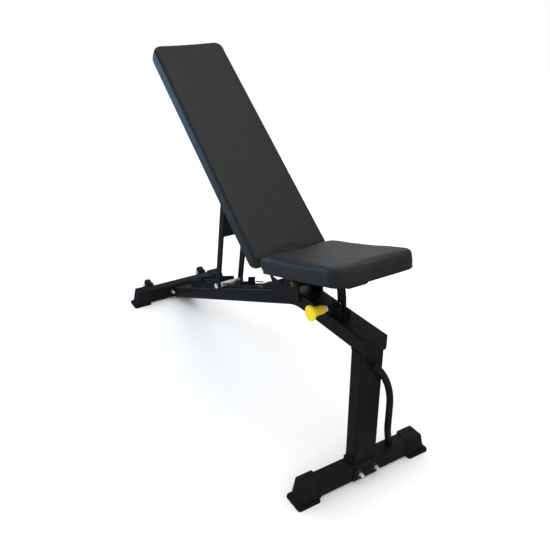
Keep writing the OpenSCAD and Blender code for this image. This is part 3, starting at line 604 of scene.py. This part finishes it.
def staples(name, pf, body, spacing):
    """Wire staples through the folded cover, round the underside of a board."""
    verts, faces = [], []
    inset = 0.0175      # from the pad's outline to the staples
    half = 0.0050       # half a staple's length
    w = 0.0006          # half the wire's width
    z0 = -0.0018        # level the staples lie at, just under the cover
    leg = z0 + 0.0012   # top of a staple's legs, inside the cover
    crown = z0 - 0.0009
    ring = pf.ring(inset, count_arc=9)
    pts = []
    for i in range(len(ring)):
        p, q = Vector((*ring[i], 0)), Vector((*ring[(i + 1) % len(ring)], 0))
        count = max(1, int(round((q - p).length/spacing)))
        pts += [(p + (q - p)*(k + 0.5)/count, (q - p).normalized())
                for k in range(count) if (q - p).length > spacing*0.6]
    for k, (c, t) in enumerate(pts):
        turn = 0.35*math.sin(k*2.3)
        t = Vector((t.x*math.cos(turn) - t.y*math.sin(turn),
                    t.x*math.sin(turn) + t.y*math.cos(turn), 0))
        s = Vector((-t.y, t.x, 0))
        prof = [(-half, leg), (-half + w, crown), (half - w, crown), (half, leg)]
        base = len(verts)
        for u, z in prof:
            for side, dz in ((-w, 0), (w, 0), (w, w*1.4), (-w, w*1.4)):
                verts.append(pf.m @ (c + t*u + s*side + Vector((0, 0, z + dz))))
        for i in range(3):
            a, b = base + 4*i, base + 4*(i + 1)
            faces += [(a + j, a + (j + 1) % 4, b + (j + 1) % 4, b + j) for j in range(4)]
        faces += [tuple(base + j for j in range(4)), tuple(base + 12 + j for j in range(4))[::-1]]
    return new_piece(name, verts, faces, MATS["bright_zinc"], body, smooth=False)


BACK = PadFrame("back_pad", "back_board", -1, r_far=0.028, r_near=0.022)
SEAT = PadFrame("seat_pad", "seat_board", 1, r_far=0.042, r_near=0.012)
cushion("back_cushion", "back_pad", "backrest", BACK, MATS["pad_leather"],
        shrink=0.0012, roll=0.0085, cap=0.0024, pressure=4.0,
        proud=(0.002, 0.0, -0.001))
cushion("seat_cushion", "seat_pad", "seat", SEAT, MATS["pad_leather"],
        shrink=0.0012, roll=0.0085, cap=0.0026, pressure=4.0,
        proud=(-0.001, 0.0005, -0.0015))
staples("back_staples", BACK, "backrest", 0.034)
staples("seat_staples", SEAT, "seat", 0.030)
MATS["back_board"] = board_ply("board_ply_back", math.atan2(BACK.u.z, BACK.u.x))
MATS["seat_board"] = board_ply("board_ply_seat", math.atan2(SEAT.u.z, SEAT.u.x))


# ---------------------------------------------------------------- weld beads
def bead(name, path, radius, body, closed=False, pitch=0.0032):
    """Rippled weld bead along a line of points, laid half into the corner it fills."""
    pts = [Vector(p) for p in path]
    if closed:
        pts.append(pts[0])
    dense, total = [], 0.0
    for p, q in zip(pts, pts[1:]):
        steps = max(1, int((q - p).length/(pitch/4)))
        dense += [(p.lerp(q, i/steps), total + (q - p).length*i/steps) for i in range(steps)]
        total += (q - p).length
    if not closed:
        dense.append((pts[-1], total))
    turns = max(1, round(total/pitch))
    n, sides = len(dense), 8
    verts, faces = [], []
    for i, (p, s) in enumerate(dense):
        a = dense[(i + 1) % n][0] if closed or i < n - 1 else p
        b = dense[i - 1][0] if closed or i > 0 else p
        t = (a - b).normalized()
        side = t.cross(Vector((0.3, 0.5, 0.81))).normalized()
        up = t.cross(side)
        phase = (s/total*turns) % 1.0
        swell = 0.86 + 0.20*math.sin(math.pi*phase)**0.7
        swell += 0.06*mnoise.noise(p*180)
        if not closed:
            swell *= min(1.0, 0.35 + s/(radius*2), 0.35 + (total - s)/(radius*2))
        for k in range(sides):
            ang = 2*math.pi*k/sides
            verts.append(p + (side*math.cos(ang) + up*math.sin(ang))*radius*swell)
    for i in range(n if closed else n - 1):
        j = (i + 1) % n
        faces += [(i*sides + k, i*sides + (k + 1) % sides, j*sides + (k + 1) % sides, j*sides + k)
                  for k in range(sides)]
    if not closed:
        faces += [tuple(range(sides))[::-1], tuple(range((n - 1)*sides, n*sides))]
    return new_piece(name, verts, faces, MATS["weld_paint"], body)


def rect_ring(x0, x1, y0, y1, r, arc=5):
    """Points round a rectangle with round corners, as pairs."""
    out = []
    for cx, cy, a0 in ((x1 - r, y1 - r, 0), (x0 + r, y1 - r, 90),
                       (x0 + r, y0 + r, 180), (x1 - r, y0 + r, 270)):
        turns = [math.radians(a0 + 90*i/arc) for i in range(arc + 1)]
        out += [(cx + r*math.cos(t), cy + r*math.sin(t)) for t in turns]
    return out


def ring_y(centre, radius, count=24):
    """Points round a circle whose axis is Y."""
    c = Vector(centre)
    return [c + Vector((math.cos(2*math.pi*i/count), 0, math.sin(2*math.pi*i/count)))*radius
            for i in range(count)]


def corners(node):
    """Every mesh point of a CAD node."""
    return [v.co.copy() for v in NODES[node].data.vertices]


def side_tag(side):
    """n on the near side, -Y, and f on the far side."""
    return "n" if side < 0 else "f"


def post_beads():
    """Round the post's two ends, the guide's foot and the spine's end at the rear plate."""
    lo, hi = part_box("front_post")
    for name, z in (("weld_post_foot", lo.z), ("weld_post_top", hi.z)):
        bead(name, [(x, y, z) for x, y in rect_ring(lo.x, hi.x, lo.y, hi.y, 0.006)], 0.0022,
             "frame", True)
    lo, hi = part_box("leg_guide")
    bead("weld_guide", [(x, y, lo.z) for x, y in rect_ring(lo.x, hi.x, lo.y, hi.y, 0.001, 1)], 0.0016,
         "frame", True)
    plate_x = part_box("beam_end_plate")[1].x
    end = [c for c in corners("main_beam") if c.x < plate_x + 0.0001]
    z0, z1 = min(c.z for c in end), max(c.z for c in end)
    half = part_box("main_beam")[1].y
    bead("weld_beam_end", [(plate_x, y, z) for y, z in rect_ring(-half, half, max(z0, 0.009), z1, 0.006)],
         0.0022, "frame", True)


def ladder_beads():
    """Five stitch welds along the outer foot of each ladder plate."""
    stitches = ((0.02, 0.10), (0.24, 0.32), (0.46, 0.54), (0.68, 0.76), (0.90, 0.98))
    outer = 0.0252      # just outside the plates' outer faces
    co = corners("ladder_plates")
    lo, hi = min(co, key=lambda c: c.x), max(co, key=lambda c: c.x)
    for side in (-1, 1):
        for i, (f0, f1) in enumerate(stitches):
            p, q = lo.lerp(hi, f0), lo.lerp(hi, f1)
            y = side*outer
            bead("weld_ladder_%s%d" % (side_tag(side), i), [(p.x, y, p.z), (q.x, y, q.z)],
                 0.0019, "frame")


def upright_beads():
    """Along the lower edge and the rear edge of each upright plate, on the spine's side."""
    line = [(0.2195, 0.392), (0.222, 0.3565), (0.310, 0.3862), (0.3535, 0.396), (0.3475, 0.410)]
    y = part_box("main_beam")[1].y + 0.0002
    for side in (-1, 1):
        bead("weld_upright_%s" % side_tag(side), [(x, side*y, z) for x, z in line],
             0.0024, "frame")


def handle_beads():
    """A U round the handle's flat upper end on the post, and a ring at its foot."""
    arc_r = 0.190       # radius of the handle's upper arc
    arc_y = 0.056       # where the arc starts, to the left of the middle
    arc_z = 0.205       # and its height
    half = 0.0056       # from the handle's centre line to each side of the bead
    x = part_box("front_post")[1].x + 0.0006
    turns = [math.radians(a) for a in (37, 40, 43, 46, 48)]
    mid = [(arc_r*(math.cos(t) - 1) + arc_y, arc_z + arc_r*math.sin(t)) for t in turns]
    left, right = [], []
    for i, (y0, z0) in enumerate(mid):
        (ya, za), (yb, zb) = mid[min(i, len(mid) - 2)], mid[min(i + 1, len(mid) - 1)]
        d = math.hypot(yb - ya, zb - za)
        dy, dz = (yb - ya)/d*half, (zb - za)/d*half
        left.append((x, y0 - dz, z0 + dy))
        right.append((x, y0 + dz, z0 - dy))
    bead("weld_handle_top", left + right[::-1], 0.0022, "frame")
    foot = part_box("front_crossbar")[1].z
    ring = [c for c in corners("lift_handle") if c.z < foot + 0.0004]
    c = sum(ring, Vector())/len(ring)
    ring.sort(key=lambda v: math.atan2(v.y - c.y, v.x - c.x))
    bead("weld_handle_foot", [c + (v - c)*1.06 for v in ring[::2]], 0.0019, "frame", True)


def bracket_beads():
    """Top edge of each wheel bracket on the rear foot."""
    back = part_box("rear_crossbar")[0].x
    lo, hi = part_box("wheel_brackets")
    wide = hi.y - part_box("left_wheel")[1].y
    half = (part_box("left_wheel")[1].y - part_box("left_wheel")[0].y)/2 + wide
    mid = hi.y - half
    x, z = back - 0.0008, lo.z + 0.0235
    for side in (-1, 1):
        bead("weld_bracket_%s" % side_tag(side),
             [(x, side*mid - half, z), (x, side*mid + half, z)], 0.0018, "frame")


def strut_beads():
    """Both ends of the cross plate, and round the rod outside each bar."""
    co = corners("strut_cross_plate")
    lo_b, hi_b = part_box("strut_bars")
    rod_lo, rod_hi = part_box("strut_rod")
    centre = (rod_lo + rod_hi)/2
    for side in (-1, 1):
        tag = side_tag(side)
        ends = sorted((c for c in co if c.y*side > 0), key=lambda c: c.z)
        low, high = (ends[0] + ends[1])/2, (ends[-1] + ends[-2])/2
        y = side*(abs(low.y) - 0.0006)
        for i, (f0, f1) in enumerate(((0.02, 0.36), (0.64, 0.98))):
            p, q = low.lerp(high, f0), low.lerp(high, f1)
            bead("weld_cross_%s%d" % (tag, i), [(p.x, y, p.z), (q.x, y, q.z)], 0.0031, "strut")
        y = (hi_b.y if side > 0 else lo_b.y) + side*0.0004
        bead("weld_rod_%s" % tag, ring_y((centre.x, y, centre.z), 0.0082), 0.0017, "strut", True)


def plate_beads(tag, pf, body, spots, half_w, drop):
    """Short beads between a pad's rail and its mounting plates."""
    for i, u in enumerate(spots):
        for side in (-1, 1):
            path = [pf.m @ Vector((u + d, side*half_w, -drop)) for d in (-0.017, 0.017)]
            bead("weld_%s_%d%s" % (tag, i, side_tag(side)), path, 0.0018, body)


post_beads()
ladder_beads()
upright_beads()
handle_beads()
bracket_beads()
strut_beads()
plate_beads("back_plate", BACK, "backrest", (-0.258, -0.028, 0.202), 0.0252, 0.0022)
plate_beads("seat_plate", SEAT, "seat", (-0.08225, 0.04775), 0.0292, 0.0032)


# ---------------------------------------------------------------- CAD nodes: materials and soft edges
NO_BEVEL = {"main_beam", "lift_handle", "pin_spring", "back_pad", "seat_pad", "left_wheel",
            "right_wheel"}
FINE = {"seat_screws", "back_screws", "front_frame_bolts", "front_frame_nuts", "rear_frame_bolts",
        "rear_frame_nuts", "frame_washers", "wheel_axle_bolts", "wheel_axle_nuts", "seat_pivot_bolt",
        "seat_pivot_nut", "backrest_pivot_bolt", "backrest_pivot_nut", "strut_hinge_bolt",
        "strut_hinge_nut", "strut_spacers", "seat_pivot_bushes", "backrest_pivot_bushes", "pull_pin",
        "pin_collar", "pull_knob", "strut_rod", "pin_barrel"}
FINE_BEVEL = 0.00025
BROAD_BEVEL = 0.0007


def material_of(node):
    """A node's material: its slot's, but each board has its own grain and some zinc is dull."""
    if node in DULL:
        return MATS["dull_zinc"]
    return MATS[node if SLOT_OF[node] == "pad_board" else SLOT_OF[node]]


for name, ob in NODES.items():
    ob.data.materials.clear()
    ob.data.materials.append(material_of(name))
    if name in NO_BEVEL:
        continue
    weld = ob.modifiers.new("weld", "WELD")
    weld.merge_threshold = 2e-6
    bev = ob.modifiers.new("bevel", "BEVEL")
    bev.width, bev.segments = (FINE_BEVEL if name in FINE else BROAD_BEVEL), 2
    bev.limit_method, bev.angle_limit = "ANGLE", math.radians(38)
    bev.use_clamp_overlap = True
    wn = ob.modifiers.new("normals", "WEIGHTED_NORMAL")
    wn.keep_sharp = False


# ---------------------------------------------------------------- floor and light
def stage_floor():
    """Plain pale floor that shiny parts don't mirror, so the blacks stay dark."""
    me = bpy.data.meshes.new("floor")
    me.from_pydata([(-40, -40, 0), (40, -40, 0), (40, 40, 0), (-40, 40, 0)], [], [(0, 1, 2, 3)])
    p = Mat("floor_white", rough=0.9, spec=0.1)
    p.color(p.ramp(p.noise(3, 2), (0.3, (0.90, 0.90, 0.90)), (0.7, (0.92, 0.92, 0.92))))
    me.materials.append(p.m)
    ob = bpy.data.objects.new("floor", me)
    bpy.context.scene.collection.objects.link(ob)
    ob.visible_glossy = False


def area(name, where, to, size, watts, color):
    """Soft rectangular light at a place, turned toward a point."""
    data = bpy.data.lights.new(name, "AREA")
    data.shape, data.size, data.size_y = "RECTANGLE", size[0], size[1]
    data.energy, data.color = watts, color
    ob = bpy.data.objects.new(name, data)
    ob.location = where
    ob.rotation_mode = "QUATERNION"
    ob.rotation_quaternion = (Vector(to) - Vector(where)).to_track_quat("-Z", "Y")
    ob.visible_camera = False
    bpy.context.scene.collection.objects.link(ob)


def studio():
    """White to the eye, dimmer in reflections, so the black parts keep their contrast."""
    w = bpy.data.worlds.new("studio")
    bpy.context.scene.world = w
    w.use_nodes = True
    t = w.node_tree
    bg = t.nodes["Background"]
    lp = t.nodes.new("ShaderNodeLightPath")
    mix = t.nodes.new("ShaderNodeMix")
    mix.data_type = "RGBA"
    mix.inputs[6].default_value = (1.0, 1.0, 1.0, 1.0)
    mix.inputs[7].default_value = (0.16, 0.17, 0.19, 1.0)
    t.links.new(lp.outputs["Is Glossy Ray"], mix.inputs[0])
    t.links.new(mix.outputs[2], bg.inputs["Color"])
    bg.inputs["Strength"].default_value = 1.12
    area("top_soft", (0.4, 0.3, 3.0), (0.0, 0.0, 0.4), (2.6, 2.6), 22, (1.0, 0.99, 0.97))
    area("rear_cool", (-1.55, -0.85, 0.75), (-0.20, -0.10, 0.80), (0.5, 1.0), 8.0, (0.24, 0.60, 1.0))
    area("rear_soft", (-1.9, 1.5, 0.80), (0.45, 0.0, 0.50), (1.6, 1.4), 4.0, (1.0, 1.0, 1.0))
    area("front_fill", (2.6, -1.0, 1.6), (0.3, 0.0, 0.4), (1.2, 1.2), 4, (1.0, 1.0, 1.0))


stage_floor()
studio()
